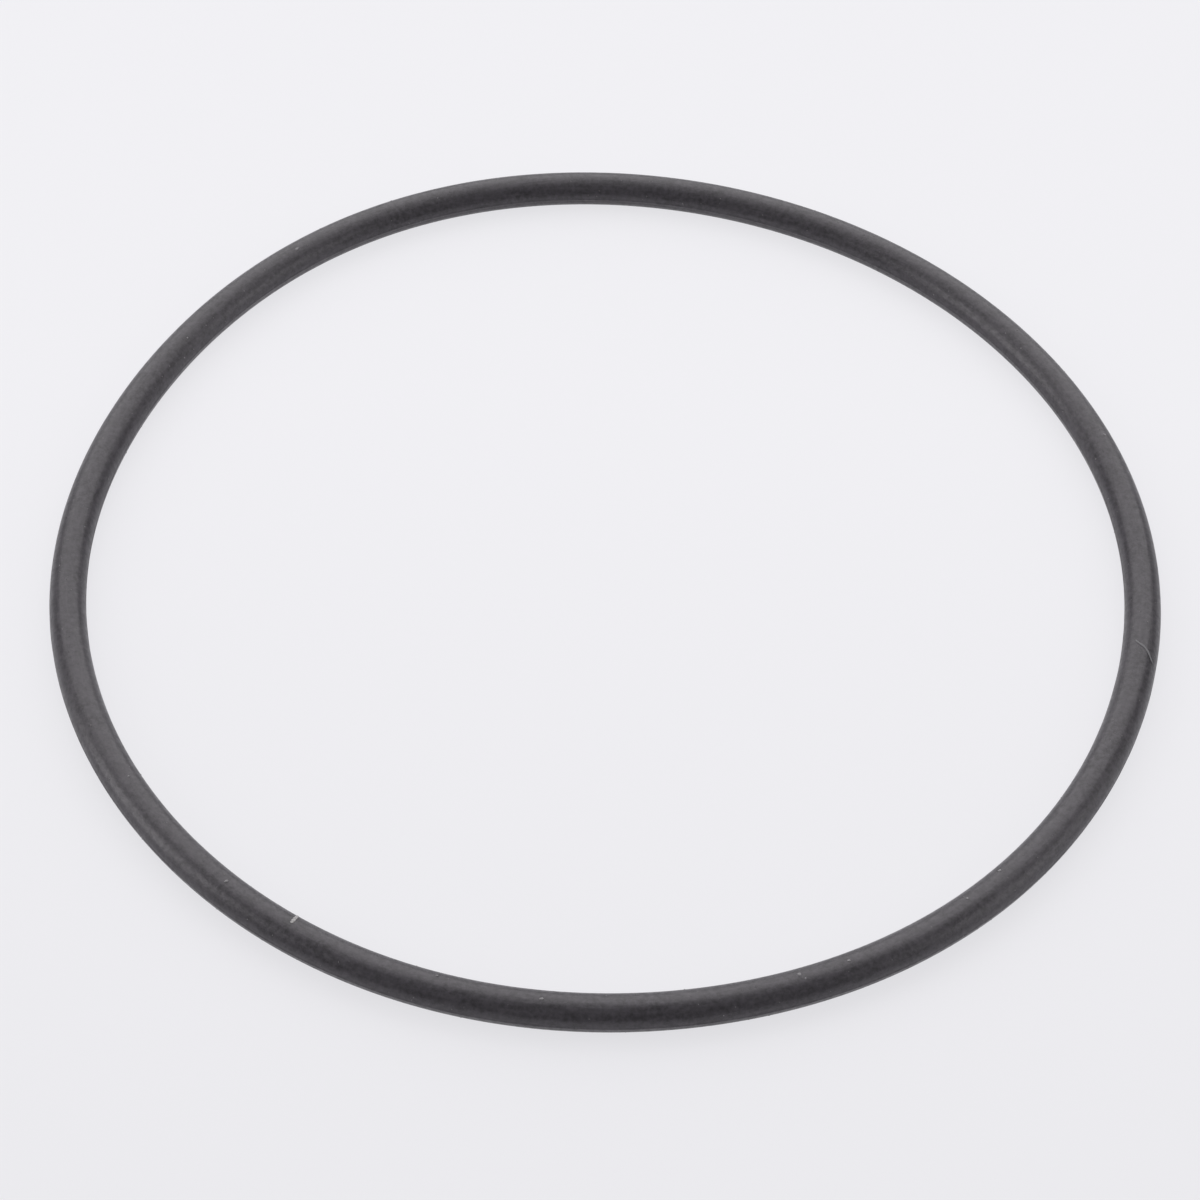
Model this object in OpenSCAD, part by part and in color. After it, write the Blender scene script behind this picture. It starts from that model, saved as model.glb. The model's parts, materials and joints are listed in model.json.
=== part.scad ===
// Round rubber sealing ring with a circular section, moulded in one piece.
// It lies flat: the ring's axis is Z, and its middle plane is at Z = 0.

/* [Ring] */
// Inside diameter, across the round of the cord
inside_d = 90; // [30:0.5:200]
// Diameter of the cord's round section
cord_d = 3; // [1.5:0.1:6]

/* [Parting line] */
// Width, along the ring's axis, of the line that the two mould halves leave on the cord
line_w = 0.16; // [0.08:0.01:0.3]
// Height of that line above the round of the cord, inside the ring and outside it
line_h = 0.04; // [0.01:0.01:0.1]

/* [Hidden] */
// Sides of each full turn, both round the ring and round the cord
$fn = 144;
// Radius of the circle that the middle of the cord follows
cord_centre_r = (inside_d + cord_d) / 2;

// The cord's section: a full round, with the parting line standing out at its inner and outer sides
module cord_section() {
    circle(d = cord_d);
    square([cord_d + 2 * line_h, line_w], center = true);
}

// The whole ring: the section turned once about the ring's axis
module o_ring() {
    color("#2f2d30")
        rotate_extrude()
            translate([cord_centre_r, 0])
                cord_section();
}

o_ring();
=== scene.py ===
"""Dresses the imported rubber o-ring: a fine mesh of the ring, lint and dust on it, the table and the light.

Lengths are in metres and angles in degrees. A place on the ring is given by two angles: "round" goes round
the ring's axis from +X towards +Y, and "over" goes over the cord, from its outer side (0) across its top (90)
to its inner side (180).
"""
import json
import math
import random

import bpy
from mathutils import Matrix, Vector, noise


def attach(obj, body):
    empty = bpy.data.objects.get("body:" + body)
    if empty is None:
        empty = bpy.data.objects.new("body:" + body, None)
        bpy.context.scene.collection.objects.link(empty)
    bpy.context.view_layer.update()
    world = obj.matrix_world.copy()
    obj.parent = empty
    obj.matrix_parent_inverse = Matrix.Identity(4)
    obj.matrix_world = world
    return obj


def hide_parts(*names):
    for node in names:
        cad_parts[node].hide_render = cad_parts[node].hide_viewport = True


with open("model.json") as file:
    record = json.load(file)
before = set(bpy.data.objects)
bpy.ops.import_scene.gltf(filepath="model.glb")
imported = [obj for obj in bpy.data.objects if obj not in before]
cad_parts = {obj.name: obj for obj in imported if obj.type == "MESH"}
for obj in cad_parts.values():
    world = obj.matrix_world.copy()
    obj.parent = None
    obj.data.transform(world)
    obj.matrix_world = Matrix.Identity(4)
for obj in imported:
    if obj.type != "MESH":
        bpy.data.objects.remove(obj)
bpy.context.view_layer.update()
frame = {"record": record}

NODE = "o_ring"
BODY = "root"
SLOT = "black_rubber"
MM = 0.001
IMAGE_SIDE = 1200                             # of the photo and the render, in pixels


def seat(name):
    """Radius and length, in metres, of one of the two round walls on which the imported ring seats."""
    dims = next(m["dims"] for m in frame["record"]["mounts"] if m["name"] == name)
    return dims["r_mm"] * MM, dims["length_mm"] * MM


INNER_R, LINE_W = seat("inner_seat")
OUTER_R, _ = seat("outer_seat")
LINE_H = 0.04 * MM                            # how far the moulding line stands proud of the cord
RING_R = (OUTER_R + INNER_R) / 2              # radius of the circle that the middle of the cord follows
CORD_R = (OUTER_R - INNER_R) / 2 - LINE_H
TABLE_Z = -CORD_R                             # the ring's middle plane is at zero, and it lies on the table

# The section is drawn this much wider than high, so that the cord's mean width is the photo's
CORD_WIDE = 1.04
# The relaxed ring isn't quite round. Each entry is a number of lobes, their height in radius, and the angle
# round the ring at which the first one lies
LOBES = [(3, 0.27 * MM, 343), (4, 0.12 * MM, 24), (5, 0.06 * MM, 329), (6, 0.05 * MM, 6)]
STEPS_ROUND = 1440
STEPS_OVER = 28                               # across each half of the cord, above or below the moulding line
LINE_CREST = 0.6                              # share of the moulding line's width that is its full height
# Share of the moulding line's height that trimming has left, at the least and at the most
LINE_LEFT = (0.2, 0.55)
# How far the cord thins at the most along its length, in radius
THINNING = 0.006 * MM
# The length over which those two change along the cord, and the layer of noise that each takes
LINE_WAVE, LINE_LAYER = 2.2 * MM, 3
THINNING_WAVE, THINNING_LAYER = 9 * MM, 7

# Fibres on the rubber: points as (round, over, lift off the rubber in millimetres)
LINT_PATH = [
    (238.87, 94, 0.0), (238.86, 103, 0.0), (238.83, 113, 0.01), (238.79, 123, 0.04), (238.74, 134, 0.1),
]
HAIR_PATH = [
    (350.4, 112, 0.0), (350.0, 101, 0.0), (349.75, 90, 0.0), (349.4, 77, 0.0), (348.95, 65, 0.0),
    (348.45, 54, 0.0), (348.0, 43, 0.02),
]
# Half the width and half the height of each
LINT_HALVES = (0.16 * MM, 0.03 * MM)
HAIR_HALVES = (0.115 * MM, 0.025 * MM)
STRAND_SIDES = 8
STRAND_REST = 0.6                             # its middle above the rubber, as a share of half its height
STRAND_END = 0.35                             # how thick its ends are, as a share of its middle
STRAND_TAPER = 0.4                            # the less, the shorter the thin stretch at each end
STRAND_UNEVEN, STRAND_WAVES = 0.15, 23        # how uneven its thickness is, and how quickly that changes
PATH_STEPS = 6                                # points on a curve from one given point to the next

# Crumbs of dust that the photo shows: (round, over, length in millimetres, slant from the cord's direction)
CRUMBS = [
    (19.7, 71, 0.32, 60), (130.0, 96, 0.46, 10), (148.5, 110, 0.22, 30), (213.9, 100, 0.24, 80),
    (230.6, 93, 0.46, 60), (254.6, 112, 0.26, 0), (265.2, 92, 0.42, 15), (290.9, 103, 0.42, 100),
    (291.3, 84, 0.17, 40), (296.1, 96, 0.33, 150), (310.5, 105, 0.31, 70), (315.5, 117, 0.39, 100),
]
# Width and height of a crumb as shares of its length, and the most that its height may be
CRUMB_WIDTH, CRUMB_THICKNESS = (0.6, 0.9), (0.15, 0.25)
CRUMB_HEIGHT = 0.06 * MM
CRUMB_SIDES = 7
# The height and reach of its upper and its lower ring of points, as shares of its own
CRUMB_RINGS = ((0.7, 0.7), (-0.2, 1.0))
# The least and the greatest factor by which a point's reach is uneven
CRUMB_LUMPS = (0.8, 1.15)
# Finer dust, strewn over all but the lowest part of the cord: how many, where, and lengths in millimetres
SPECKS = 380
SPECK_OVER = (-40, 220)
SPECK_SIZE = (0.07, 0.17)
SEED = 12


def plan_radius(turn):
    """Distance from the axis to the middle of the cord, at an angle round the ring in radians."""
    return RING_R + sum(h * math.cos(n * (turn - math.radians(first))) for n, h, first in LOBES)


def along_noise(turn, wave, layer):
    """Smooth noise from about -1 to 1 that closes on itself round the ring."""
    reach = RING_R / wave
    return noise.noise(Vector((math.cos(turn) * reach, math.sin(turn) * reach, layer)))


def cord_section(line_h, cord_r):
    """Points round the cord's section, as (away from the axis, up), with the moulding line at both sides."""
    side, crest = LINE_W / 2, LINE_W / 2 * LINE_CREST
    start = math.asin(side / cord_r)
    arc = [start + (math.pi - 2 * start) * i / STEPS_OVER for i in range(STEPS_OVER + 1)]
    upper = [(cord_r * CORD_WIDE * math.cos(a), cord_r * math.sin(a)) for a in arc]
    out = cord_r * CORD_WIDE + line_h
    lower = [(-x, -z) for x, z in upper]
    return upper + [(-out, crest), (-out, -crest)] + lower + [(out, -crest), (out, crest)]


def on_ring(around, over, lift=0.0):
    """A point on the rubber, and the direction that faces out of it there."""
    turn, tilt = math.radians(around), math.radians(over)
    outward, up = Vector((math.cos(turn), math.sin(turn), 0)), Vector((0, 0, 1))
    facing = outward * math.cos(tilt) + up * math.sin(tilt)
    out = plan_radius(turn) + CORD_R * CORD_WIDE * math.cos(tilt)
    skin = outward * out + up * (CORD_R * math.sin(tilt))
    return skin + facing * lift, facing


def new_piece(name, points, faces, material):
    """A smooth mesh object from points and faces, riding on the ring's body."""
    mesh = bpy.data.meshes.new(name)
    mesh.from_pydata(points, [], faces)
    mesh.polygons.foreach_set("use_smooth", [True] * len(mesh.polygons))
    mesh.materials.append(material)
    mesh.update()
    piece = bpy.data.objects.new(name, mesh)
    bpy.context.scene.collection.objects.link(piece)
    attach(piece, BODY)
    return piece


def ring_section(turn):
    """The cord's section at an angle round the ring in radians, with its own thickness and moulding line."""
    low, high = LINE_LEFT
    left = low + (high - low) * min(1, max(0, 0.5 + along_noise(turn, LINE_WAVE, LINE_LAYER)))
    thinned = THINNING * (1 - along_noise(turn, THINNING_WAVE, THINNING_LAYER)) / 2
    return cord_section(LINE_H * left, CORD_R - thinned)


def make_ring(material):
    """The ring as one closed mesh: the cord's section carried round the relaxed ring's outline."""
    points = []
    for i in range(STEPS_ROUND):
        turn = 2 * math.pi * i / STEPS_ROUND
        middle = plan_radius(turn)
        for x, z in ring_section(turn):
            points.append(((middle + x) * math.cos(turn), (middle + x) * math.sin(turn), z))
    count = len(points) // STEPS_ROUND
    faces = []
    for i in range(STEPS_ROUND):
        here, after = i * count, (i + 1) % STEPS_ROUND * count
        for j in range(count):
            k = (j + 1) % count
            faces.append((here + j, after + j, after + k, here + k))
    piece = new_piece("ring", points, faces, material)
    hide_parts(NODE)


def smooth_path(points):
    """Points on a smooth curve through the given ones."""
    ends = [points[0] * 2 - points[1]] + points + [points[-1] * 2 - points[-2]]
    path = []
    for a, b, c, d in zip(ends, ends[1:], ends[2:], ends[3:]):
        for i in range(PATH_STEPS):
            t = i / PATH_STEPS
            path.append(0.5 * (2 * b + (c - a) * t + (2 * a - 5 * b + 4 * c - d) * t * t
                               + (3 * b - a - 3 * c + d) * t ** 3))
    return path + [points[-1]]


def strand_thickness(share):
    """Thickness of a strand at a share of its length: thinner at its ends, and a little uneven."""
    tapered = STRAND_END + (1 - STRAND_END) * math.sin(math.pi * share) ** STRAND_TAPER
    return tapered * (1 + STRAND_UNEVEN * math.sin(share * STRAND_WAVES))


def tube_faces(rings, sides):
    """Faces of a tube whose points lie in rings, closed at both ends."""
    faces = []
    for i in range(rings - 1):
        here, after = i * sides, (i + 1) * sides
        for s in range(sides):
            n = (s + 1) % sides
            faces.append((here + s, after + s, after + n, here + n))
    last = (rings - 1) * sides
    faces.append(tuple(range(sides)))
    faces.append(tuple(last + s for s in reversed(range(sides))))
    return faces


def strand(places, half_width, half_height):
    """Points and faces of one flat fibre that lies along places on the ring."""
    rest = half_height * STRAND_REST
    spots = [on_ring(around, over, lift * MM + rest) for around, over, lift in places]
    path = smooth_path([place for place, _ in spots])
    facings = smooth_path([facing for _, facing in spots])
    points = []
    for i, (middle, facing) in enumerate(zip(path, facings)):
        ahead = (path[min(i + 1, len(path) - 1)] - path[max(i - 1, 0)]).normalized()
        across = ahead.cross(facing).normalized()
        above = across.cross(ahead)
        thick = strand_thickness(i / (len(path) - 1))
        for s in range(STRAND_SIDES):
            a = 2 * math.pi * s / STRAND_SIDES
            point = middle + across * (math.cos(a) * half_width * thick)
            points.append(point + above * (math.sin(a) * half_height * thick))
    return points, tube_faces(len(path), STRAND_SIDES)


def crumb_faces(sides):
    """Faces of a crumb: a fan round its top, a band below it, and its flat underside."""
    faces = []
    for s in range(sides):
        n = (s + 1) % sides
        faces.append((0, 1 + s, 1 + n))
        faces.append((1 + s, 1 + sides + s, 1 + sides + n, 1 + n))
    faces.append(tuple(1 + sides + s for s in reversed(range(sides))))
    return faces


def crumb(around, over, length, slant, rng):
    """Points and faces of one crumb of dust pressed on the rubber: a lumpy, flattened oval."""
    centre, facing = on_ring(around, over)
    turn = math.radians(around)
    along = Vector((-math.sin(turn), math.cos(turn), 0))
    along.rotate(Matrix.Rotation(math.radians(slant), 3, facing))
    across = facing.cross(along)
    wide = length * rng.uniform(*CRUMB_WIDTH)
    high = min(length * rng.uniform(*CRUMB_THICKNESS), CRUMB_HEIGHT)
    points = [centre + facing * high]
    for level, spread in CRUMB_RINGS:
        for s in range(CRUMB_SIDES):
            a = 2 * math.pi * s / CRUMB_SIDES
            reach = spread * rng.uniform(*CRUMB_LUMPS) / 2
            point = centre + along * (length * reach * math.cos(a))
            point += across * (wide * reach * math.sin(a))
            points.append(point + facing * (high * level))
    return points, crumb_faces(CRUMB_SIDES)


def joined(shapes):
    """Several (points, faces) pairs as one."""
    points, faces = [], []
    for more_points, more_faces in shapes:
        base = len(points)
        points += more_points
        faces += [tuple(base + i for i in face) for face in more_faces]
    return points, faces


# The darkest and the lightest tone of each
LINT_COLOURS = ((0.32, 0.307, 0.311, 1), (0.43, 0.413, 0.418, 1))
HAIR_COLOURS = ((0.14, 0.136, 0.145, 1), (0.19, 0.184, 0.196, 1))
CRUMB_COLOURS = ((0.23, 0.221, 0.233, 1), (0.28, 0.269, 0.283, 1))
SPECK_COLOURS = ((0.09, 0.086, 0.091, 1), (0.26, 0.249, 0.26, 1))


def make_fibres():
    """The pale lint across the cord at the near left, and the fine grey hair at the right."""
    new_piece("lint", *strand(LINT_PATH, *LINT_HALVES), fibre_material("lint", *LINT_COLOURS))
    new_piece("hair", *strand(HAIR_PATH, *HAIR_HALVES), fibre_material("hair", *HAIR_COLOURS))


def make_dust():
    """The crumbs of dust that the photo shows, and finer, darker specks all round the ring."""
    rng = random.Random(SEED)
    crumbs = [crumb(around, over, length * MM, slant, rng) for around, over, length, slant in CRUMBS]
    new_piece("crumbs", *joined(crumbs), dust_material("crumbs", *CRUMB_COLOURS))
    specks = []
    for _ in range(SPECKS):
        around, over, slant = rng.uniform(0, 360), rng.uniform(*SPECK_OVER), rng.uniform(0, 180)
        specks.append(crumb(around, over, rng.uniform(*SPECK_SIZE) * MM, slant, rng))
    new_piece("specks", *joined(specks), dust_material("specks", *SPECK_COLOURS))


class Shader:
    """A material's nodes, added and linked by short calls."""

    def __init__(self, name):
        self.material = bpy.data.materials.new(name)
        self.material.use_nodes = True
        self.nodes = self.material.node_tree.nodes
        self.links = self.material.node_tree.links
        self.surface = self.nodes["Principled BSDF"]

    def feed(self, socket, value):
        """Links another node's output to the socket, or sets it to a plain value."""
        if isinstance(value, bpy.types.NodeSocket):
            self.links.new(value, socket)
        else:
            socket.default_value = value

    def add(self, kind, inputs=(), **settings):
        """A new node with its settings and its inputs, which are given by name or by number."""
        node = self.nodes.new(kind)
        for name, value in settings.items():
            setattr(node, name, value)
        for name, value in dict(inputs).items():
            self.feed(node.inputs[name], value)
        return node

    def set(self, name, value):
        """Sets or links one of the surface's own inputs."""
        self.feed(self.surface.inputs[name], value)

    def noise(self, feature, detail=2.0, roughness=0.5):
        """Noise with features about that many metres across, from 0 to 1."""
        place = self.add("ShaderNodeTexCoord").outputs["Object"]
        settings = {"Vector": place, "Scale": 1 / feature, "Detail": detail, "Roughness": roughness}
        return self.add("ShaderNodeTexNoise", settings).outputs["Fac"]

    def streaks(self, length, width):
        """Noise drawn out along the cord, with no seam: its features are that long and that wide."""
        place = self.add("ShaderNodeTexCoord").outputs["Object"]
        axes = self.add("ShaderNodeSeparateXYZ", {"Vector": place}).outputs
        flat = self.add("ShaderNodeCombineXYZ", {"X": axes["X"], "Y": axes["Y"]}).outputs["Vector"]
        out = self.add("ShaderNodeVectorMath", {0: flat}, operation="LENGTH").outputs["Value"]
        facing = self.add("ShaderNodeVectorMath", {0: flat}, operation="NORMALIZE").outputs["Vector"]
        turn = self.add("ShaderNodeVectorMath", {0: facing, "Scale": RING_R / length}, operation="SCALE")
        aside = self.add("ShaderNodeCombineXYZ", {"Z": self.maths("DIVIDE", out, width)}).outputs["Vector"]
        spot = self.add("ShaderNodeVectorMath", {0: turn.outputs["Vector"], 1: aside}, operation="ADD")
        settings = {"Vector": spot.outputs["Vector"], "W": self.maths("DIVIDE", axes["Z"], width),
                    "Scale": 1, "Detail": 1}
        return self.add("ShaderNodeTexNoise", settings, noise_dimensions="4D").outputs["Fac"]

    def spread(self, value, low, high, to_low=0.0, to_high=1.0):
        """value moved from the range low to high into another one, and held inside it."""
        settings = {"Value": value, "From Min": low, "From Max": high, "To Min": to_low, "To Max": to_high}
        return self.add("ShaderNodeMapRange", settings).outputs["Result"]

    def mix(self, share, a, b):
        """Colour a where share is 0, and b where it is 1."""
        return self.add("ShaderNodeMix", {0: share, 6: a, 7: b}, data_type="RGBA").outputs[2]

    def maths(self, operation, *values):
        """The result of one Math node."""
        return self.add("ShaderNodeMath", dict(enumerate(values)), operation=operation).outputs[0]

    def bump(self, height, distance, normal=None):
        """The surface's direction where height, from 0 to 1, stands for relief of that many metres."""
        inputs = {"Height": height, "Distance": distance}
        if normal is not None:
            inputs["Normal"] = normal
        return self.add("ShaderNodeBump", inputs).outputs["Normal"]


# Below, a SIZE is how wide the features are, and a RELIEF how deep. The noise runs from 0 to 1, and a RANGE
# is the stretch of it over which the look goes from one end to the other

# The rubber's mottling, from its dark pits to its light skin
MOTTLE_COLOURS = ((0.0165, 0.015, 0.0178, 1), (0.053, 0.048, 0.0565, 1))
MOTTLE_SIZE, MOTTLE_RELIEF, MOTTLE_RANGE = 0.42 * MM, 0.025 * MM, (0.36, 0.64)
# The grey bloom on it
BLOOM_COLOUR, BLOOM_MOST = (0.055, 0.0503, 0.0585, 1), 0.3
BLOOM_SIZE, BLOOM_RANGE = 3.5 * MM, (0.4, 0.65)
# The streaks along the cord
STREAK_COLOUR, STREAK_MOST = (0.07, 0.0645, 0.0735, 1), 0.35
STREAK_LENGTH, STREAK_WIDTH, STREAK_RELIEF, STREAK_RANGE = 2.5 * MM, 0.25 * MM, 0.012 * MM, (0.5, 0.75)
# The least and the greatest roughness
RUBBER_ROUGHNESS = (0.29, 0.43)
ROUGHNESS_SIZE, ROUGHNESS_RANGE = 0.45 * MM, (0.35, 0.65)
# Shallow unevenness of the moulded skin
SKIN_SIZE, SKIN_RELIEF = 0.9 * MM, 0.012 * MM
RUBBER_IOR = 1.56
RUBBER_TINT = (1, 0.965, 1, 1)

# Fibres and dust: how wide their changes of tone are, how rough they are, and their fine grain
FIBRE_TONE_SIZE, FIBRE_ROUGHNESS = 0.1 * MM, 0.75
FIBRE_GRAIN_SIZE, FIBRE_RELIEF = 0.03 * MM, 0.005 * MM
DUST_TONE_SIZE, DUST_TONE_RANGE, DUST_ROUGHNESS = 1.5 * MM, (0.35, 0.65), 0.85
DUST_GRAIN_SIZE, DUST_RELIEF = 0.02 * MM, 0.004 * MM


def rubber_material():
    """Black rubber as moulded: dull, mottled, pitted, faintly streaked along the cord, with a thin bloom."""
    s = Shader(SLOT)
    mottle = s.noise(MOTTLE_SIZE, detail=4, roughness=0.7)
    clouds = s.noise(BLOOM_SIZE)
    flow = s.streaks(STREAK_LENGTH, STREAK_WIDTH)
    plain = s.mix(s.spread(mottle, *MOTTLE_RANGE), *MOTTLE_COLOURS)
    bloomed = s.mix(s.spread(clouds, *BLOOM_RANGE, 0, BLOOM_MOST), plain, BLOOM_COLOUR)
    s.set("Base Color", s.mix(s.spread(flow, *STREAK_RANGE, 0, STREAK_MOST), bloomed, STREAK_COLOUR))
    s.set("Roughness", s.spread(s.noise(ROUGHNESS_SIZE, detail=3), *ROUGHNESS_RANGE, *RUBBER_ROUGHNESS))
    s.set("IOR", RUBBER_IOR)
    s.set("Specular Tint", RUBBER_TINT)
    pitted = s.bump(mottle, MOTTLE_RELIEF)
    drawn = s.bump(flow, STREAK_RELIEF, normal=pitted)
    s.set("Normal", s.bump(s.noise(SKIN_SIZE), SKIN_RELIEF, normal=drawn))
    return s.material


def fibre_material(name, dark, light):
    """Textile fibre or hair, a little uneven in colour."""
    s = Shader(name)
    s.set("Base Color", s.mix(s.noise(FIBRE_TONE_SIZE), dark, light))
    s.set("Roughness", FIBRE_ROUGHNESS)
    s.set("Normal", s.bump(s.noise(FIBRE_GRAIN_SIZE), FIBRE_RELIEF))
    return s.material


def dust_material(name, dark, light):
    """Grey dust, in crumbs that differ in tone."""
    s = Shader(name)
    s.set("Base Color", s.mix(s.spread(s.noise(DUST_TONE_SIZE), *DUST_TONE_RANGE), dark, light))
    s.set("Roughness", DUST_ROUGHNESS)
    s.set("Normal", s.bump(s.noise(DUST_GRAIN_SIZE), DUST_RELIEF))
    return s.material


TABLE_HALF = 4.0                              # half of its side
TABLE_COLOUR = (0.936, 0.931, 0.963, 1)
TABLE_ROUGHNESS = 0.9
# Most of the table's own paleness shows without light on it, to the camera and in reflections.
# That keeps the ring's shadow as faint as the photo's
TABLE_GLOW = (0.875, 0.87, 0.9, 1)
TABLE_GLOW_SHARE = 0.83
# Painted shade: the table is a little darker towards the near side, where less light falls; where that starts
# and ends along Y, and how much
TABLE_PAINTED_SHADE_FROM, TABLE_PAINTED_SHADE_TO, TABLE_PAINTED_SHADE = 0.02, -0.065, 0.955


def painted_near_shade(colour):
    """One of the table's colours with the painted shade of its near side."""
    return tuple(c * TABLE_PAINTED_SHADE for c in colour[:3]) + (1,)


def table_material():
    """Plain, pale and dull, with no gloss, and with painted shade that darkens it towards the near side."""
    s = Shader("table")
    place = s.add("ShaderNodeTexCoord").outputs["Object"]
    along = s.add("ShaderNodeSeparateXYZ", {"Vector": place}).outputs["Y"]
    # Painted shade: a share that darkens the table's colour towards the near side
    near = s.spread(along, TABLE_PAINTED_SHADE_FROM, TABLE_PAINTED_SHADE_TO)
    s.set("Base Color", s.mix(near, TABLE_COLOUR, painted_near_shade(TABLE_COLOUR)))
    s.set("Roughness", TABLE_ROUGHNESS)
    s.set("Specular IOR Level", 0.0)
    path = s.add("ShaderNodeLightPath").outputs
    seen = s.maths("ADD", path["Is Camera Ray"], path["Is Glossy Ray"])
    seen = s.maths("ADD", seen, path["Is Transmission Ray"])
    share = s.maths("MULTIPLY", seen, TABLE_GLOW_SHARE)
    # The glow takes the same painted shade towards the near side
    glow = s.mix(near, TABLE_GLOW, painted_near_shade(TABLE_GLOW))
    emission = s.add("ShaderNodeEmission", {"Color": glow}).outputs[0]
    blend = s.add("ShaderNodeMixShader", {0: share, 1: s.surface.outputs[0], 2: emission})
    s.links.new(blend.outputs[0], s.nodes["Material Output"].inputs["Surface"])
    return s.material


def make_table():
    """The plain pale table that the ring lies on."""
    corners = [(x * TABLE_HALF, y * TABLE_HALF, TABLE_Z) for x, y in ((-1, -1), (1, -1), (1, 1), (-1, 1))]
    mesh = bpy.data.meshes.new("table")
    mesh.from_pydata(corners, [], [(0, 1, 2, 3)])
    mesh.materials.append(table_material())
    table = bpy.data.objects.new("table", mesh)
    bpy.context.scene.collection.objects.link(table)


# Soft boxes: azimuth from +X towards +Y, elevation, distance, size as seen from the ring, and radiance
SOFT_BOXES = {
    "back_box": {"azimuth": 92, "elevation": 37, "distance": 1.5, "across": 84, "up": 57, "radiance": 1.63},
    "left_box": {"azimuth": 186, "elevation": 22, "distance": 1.0, "across": 32, "up": 41, "radiance": 2.44},
    "right_box": {"azimuth": 350, "elevation": 21, "distance": 1.4, "across": 36, "up": 39, "radiance": 1.29},
    "top_box": {"azimuth": 92, "elevation": 77, "distance": 0.42, "across": 98, "up": 28, "radiance": 0.7},
}
ROOM = 0.265                                  # radiance of the even, dim room round it all


def direction(azimuth, elevation):
    """The direction from the ring's middle towards an azimuth and an elevation."""
    a, e = math.radians(azimuth), math.radians(elevation)
    return Vector((math.cos(e) * math.cos(a), math.cos(e) * math.sin(a), math.sin(e)))


def soft_box(name, azimuth, elevation, distance, across, up, radiance):
    """A flat lamp that faces the ring, of the given size in degrees as seen from there."""
    lamp = bpy.data.lights.new(name, "AREA")
    lamp.shape = "RECTANGLE"
    lamp.size = 2 * distance * math.tan(math.radians(across / 2))
    lamp.size_y = 2 * distance * math.tan(math.radians(up / 2))
    lamp.energy = radiance * math.pi * lamp.size * lamp.size_y
    towards = direction(azimuth, elevation)
    box = bpy.data.objects.new(name, lamp)
    box.location = towards * distance
    box.rotation_euler = towards.to_track_quat("Z", "Y").to_euler()
    box.visible_camera = False
    bpy.context.scene.collection.objects.link(box)


def make_light():
    """The soft boxes, in an even, dim room."""
    for name, box in SOFT_BOXES.items():
        soft_box(name, **box)
    world = bpy.data.worlds.new("room")
    world.use_nodes = True
    world.node_tree.nodes["Background"].inputs["Color"].default_value = (ROOM, ROOM, ROOM, 1)
    bpy.context.scene.world = world


# The camera looks down on the ring from the near side
CAMERA_DISTANCE = 304.2 * MM                  # from the middle of the ring
CAMERA_AZIMUTH, CAMERA_ELEVATION = 270, 50.0
FOCAL_PIXELS = 3491                           # focal length, in pixels of the image
SENSOR = 36.0                                 # width of the camera's sensor, in millimetres
CLIP = (0.01, 20)                             # nearest and farthest distance that it shows
# How far it is turned about its own axes
CAMERA_YAW, CAMERA_PITCH, CAMERA_ROLL = 0.08, -0.615, 2.02


def make_camera():
    """The camera at the photo's angle: aimed at the ring's middle, then turned a little on its own axes."""
    data = bpy.data.cameras.new("camera")
    data.sensor_width = SENSOR
    data.lens = FOCAL_PIXELS * SENSOR / IMAGE_SIDE
    data.clip_start, data.clip_end = CLIP
    camera = bpy.data.objects.new("camera", data)
    back = direction(CAMERA_AZIMUTH, CAMERA_ELEVATION)
    own = [Matrix.Rotation(math.radians(a), 4, axis)
           for a, axis in ((CAMERA_YAW, "Y"), (CAMERA_PITCH, "X"), (CAMERA_ROLL, "Z"))]
    aim = (-back).to_track_quat("-Z", "Y").to_matrix().to_4x4()
    camera.matrix_world = Matrix.Translation(back * CAMERA_DISTANCE) @ aim @ own[0] @ own[1] @ own[2]
    bpy.context.scene.collection.objects.link(camera)
    bpy.context.scene.camera = camera


make_camera()
make_ring(rubber_material())
make_fibres()
make_dust()
make_table()
make_light()
bpy.context.scene.view_settings.view_transform = "Standard"
